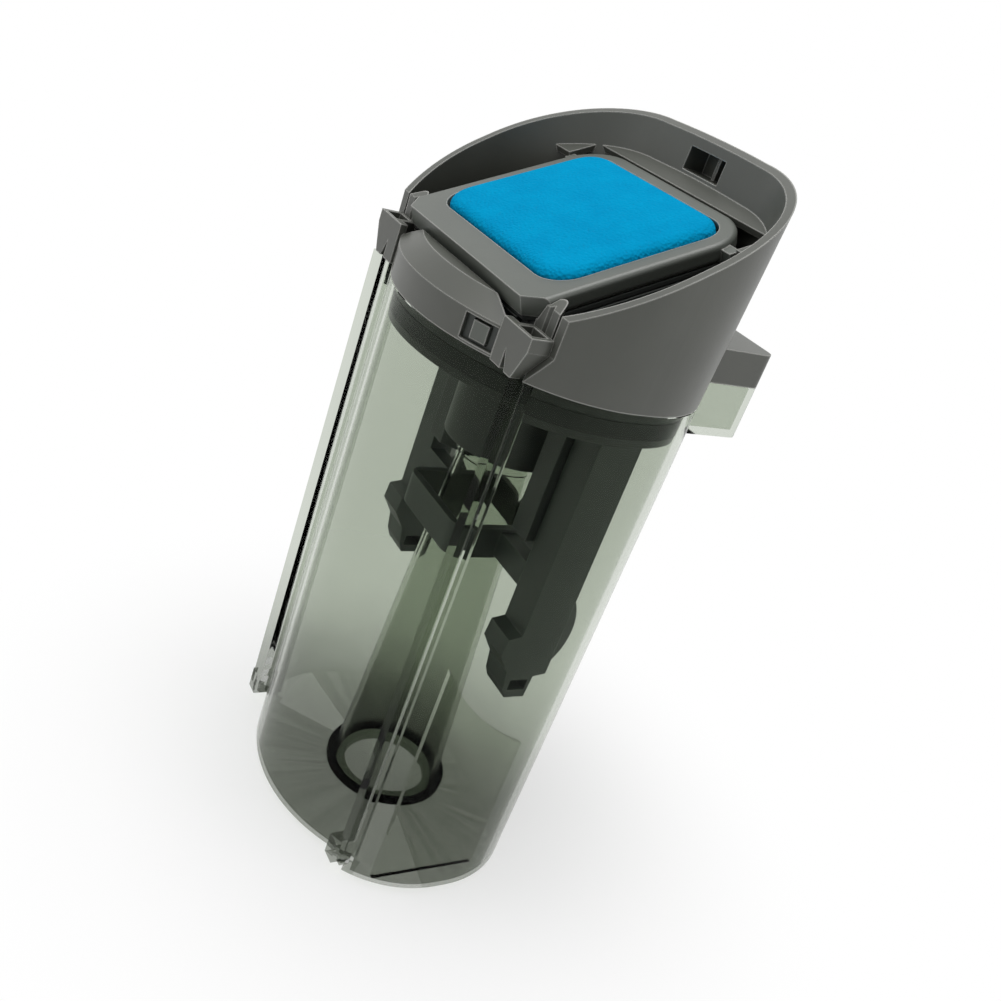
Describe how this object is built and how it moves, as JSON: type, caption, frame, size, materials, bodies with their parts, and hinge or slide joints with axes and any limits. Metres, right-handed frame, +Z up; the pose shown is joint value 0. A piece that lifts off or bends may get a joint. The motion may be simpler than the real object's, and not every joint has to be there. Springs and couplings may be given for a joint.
{
  "type": "vacuum dirty water tank",
  "caption": "See-through dirty water tank with a scooped grey collar, riser pipe, float and a sloped lift-out filter with a blue sponge.",
  "frame": {"origin": "on the surface the tank stands on, below the middle of its overall box", "axes": "+Z up, +X to the tank's right, -Y to the shallow front lobe, +Y to the docking lug"},
  "size_m": [0.1072, 0.1008, 0.2156],
  "materials": {
    "clear_plastic": "clear moulded plastic with a smoky grey-green tint",
    "grey_plastic": "satin warm grey",
    "light_grey_plastic": "satin light grey",
    "dark_plastic": "satin near black",
    "float_plastic": "satin dark grey",
    "rubber": "matt black",
    "blue_sponge": "open-cell foam, bright blue",
    "filter_paper": "white pleated",
    "steel": "plain"
  },
  "bodies": {
    "tank": {"tank_vessel": "clear_plastic", "riser_pipe": "clear_plastic", "inlet_gasket": "rubber", "splash_panel": "clear_plastic"},
    "lid": {"lid_base": "dark_plastic", "lid_seal": "rubber", "collar": "grey_plastic", "lug_cap": "grey_plastic", "front_cap": "grey_plastic", "filter_well": "dark_plastic", "separator_hood": "dark_plastic", "hood_screws": "steel", "right_catch_bezel": "dark_plastic", "left_catch_bezel": "dark_plastic", "right_catch_spring": "steel", "left_catch_spring": "steel"},
    "filter": {"filter_tray": "light_grey_plastic", "sponge_pad": "blue_sponge", "pleated_filter": "filter_paper", "filter_seal": "rubber"},
    "float": {"float_frame": "float_plastic", "right_side_float": "float_plastic", "left_side_float": "float_plastic", "right_valve_pad": "rubber", "left_valve_pad": "rubber"},
    "right_catch": {"right_catch_button": "light_grey_plastic"},
    "left_catch": {"left_catch_button": "light_grey_plastic"}
  },
  "joints": [
    {"name": "lid_lift", "type": "slide", "parent": "tank", "child": "lid", "axis": [0, 0, 1], "range_m": [0, 0.1]},
    {"name": "filter_lift", "type": "slide", "parent": "lid", "child": "filter", "axis": [0, -0.4327, 0.9015], "range_m": [0, 0.03]},
    {"name": "float_rise", "type": "slide", "parent": "lid", "child": "float", "axis": [0, 0, 1], "range_m": [0, 0.0045]},
    {"name": "right_catch_press", "type": "slide", "parent": "lid", "child": "right_catch", "axis": [-0.4523, 0.8919, 0], "range_m": [0, 0.0012], "stiffness_N_per_m": 800, "springref_m": -0.001, "deforming": ["right_catch_spring"]},
    {"name": "left_catch_press", "type": "slide", "parent": "lid", "child": "left_catch", "axis": [0.4523, 0.8919, 0], "range_m": [0, 0.0012], "stiffness_N_per_m": 800, "springref_m": -0.001, "deforming": ["left_catch_spring"]}
  ]
}
